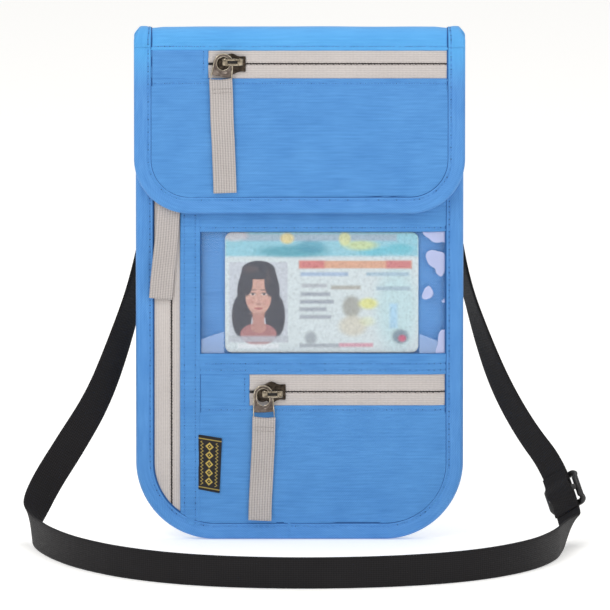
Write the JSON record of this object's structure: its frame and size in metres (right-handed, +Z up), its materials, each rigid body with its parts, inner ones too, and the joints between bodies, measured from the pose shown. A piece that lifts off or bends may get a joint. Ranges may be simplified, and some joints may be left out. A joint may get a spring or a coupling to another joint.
{
  "type": "neck pouch wallet",
  "caption": "Flat travel neck pouch with a zipped flap, a side zip, a clear card window, a zipped lower pocket and an adjustable webbing neck strap.",
  "frame": {"origin": "middle of the lower edge, on the surface that the pouch stands on", "axes": "+Z up towards the flap fold, -Y out of the front with the window and the flap, +X to the right seen from the front"},
  "size_m": [0.2511, 0.1506, 0.23],
  "materials": {
    "blue_cloth": "plain woven polyester, satin sheen",
    "blue_binding": "folded binding tape with stitching",
    "beige_tape": "ribbed zip tape and ribbon",
    "zip_coil": "nylon coil",
    "gunmetal": "dark antique plating worn bright at the edges",
    "clear_film": "clear soft film",
    "foil": "thin screening foil",
    "lining": "thin lining cloth",
    "card": "printed plastic card",
    "label_cloth": "woven label with a gold border",
    "black_webbing": "flat woven webbing",
    "black_plastic": "moulded plastic",
    "hook_and_loop": "hook and loop tape"
  },
  "bodies": {
    "pouch": {"back_panel": "blue_cloth", "rfid_foil_rear": "foil", "rear_lining": "lining", "front_lining": "lining", "rfid_foil_front": "foil", "base_panel": "blue_cloth", "edge_binding_bottom": "blue_binding", "edge_binding_left": "blue_binding", "edge_binding_right": "blue_binding", "mouth_binding": "blue_binding", "side_zip_tape_outer": "beige_tape", "side_zip_tape_inner": "beige_tape", "side_zip_coil_outer": "zip_coil", "side_zip_coil_inner": "zip_coil", "facing_strip": "blue_cloth", "window_top_band": "blue_cloth", "window_film": "clear_film", "window_bottom_band": "blue_cloth", "lower_zip_tape_upper": "beige_tape", "lower_zip_tape_lower": "beige_tape", "lower_zip_coil_upper": "zip_coil", "lower_zip_coil_lower": "zip_coil", "lower_zip_end_patch": "blue_cloth", "lower_pocket_panel": "blue_cloth", "woven_label": "label_cloth", "loop_patch": "hook_and_loop", "strap_webbing": "black_webbing", "strap_anchor_left": "black_webbing", "strap_anchor_right": "black_webbing"},
    "flap": {"flap_lining": "lining", "flap_panel": "blue_cloth", "flap_top_band": "blue_cloth", "flap_zip_end_patch": "blue_cloth", "flap_zip_tape_upper": "beige_tape", "flap_zip_tape_lower": "beige_tape", "flap_zip_coil_upper": "zip_coil", "flap_zip_coil_lower": "zip_coil", "flap_binding": "blue_binding", "flap_fold": "blue_cloth", "hook_patch": "hook_and_loop"},
    "flap_slider": {"flap_zip_slider": "gunmetal"},
    "flap_pull": {"flap_zip_pull": "gunmetal", "flap_zip_ribbon": "beige_tape"},
    "side_slider": {"side_zip_slider": "gunmetal"},
    "side_pull": {"side_zip_pull": "gunmetal", "side_zip_ribbon": "beige_tape"},
    "lower_slider": {"lower_zip_slider": "gunmetal"},
    "lower_pull": {"lower_zip_pull": "gunmetal", "lower_zip_ribbon": "beige_tape"},
    "card": {"id_card": "card"},
    "buckle": {"strap_buckle": "black_plastic"}
  },
  "joints": [
    {"name": "flap_hinge", "type": "hinge", "parent": "pouch", "child": "flap", "pos_m": [0, 0.00915, 0.2194], "axis": [-1, 0, 0], "range_deg": [0, 180]},
    {"name": "flap_zip_slide", "type": "slide", "parent": "flap", "child": "flap_slider", "axis": [1, 0, 0], "range_m": [0, 0.088]},
    {"name": "flap_pull_swing", "type": "hinge", "parent": "flap_slider", "child": "flap_pull", "pos_m": [-0.03375, -0.0089, 0.2148], "axis": [0, 1, 0], "range_deg": [-30, 75]},
    {"name": "side_zip_slide", "type": "slide", "parent": "pouch", "child": "side_slider", "axis": [0, 0, -1], "range_m": [0, 0.14]},
    {"name": "side_pull_swing", "type": "hinge", "parent": "side_slider", "child": "side_pull", "pos_m": [-0.0567, -0.0033, 0.16635], "axis": [0, 1, 0], "range_deg": [-25, 40]},
    {"name": "lower_zip_slide", "type": "slide", "parent": "pouch", "child": "lower_slider", "axis": [1, 0, 0], "range_m": [0, 0.07]},
    {"name": "lower_pull_swing", "type": "hinge", "parent": "lower_slider", "child": "lower_pull", "pos_m": [-0.01615, -0.0033, 0.0669], "axis": [0, 1, 0], "range_deg": [-30, 75]},
    {"name": "card_slide", "type": "slide", "parent": "pouch", "child": "card", "axis": [0, 0, 1], "range_m": [0, 0.045]},
    {"name": "buckle_slide", "type": "slide", "parent": "pouch", "child": "buckle", "axis": [-0.309, 0.4173, 0.8546], "range_m": [0, 0.003]}
  ]
}
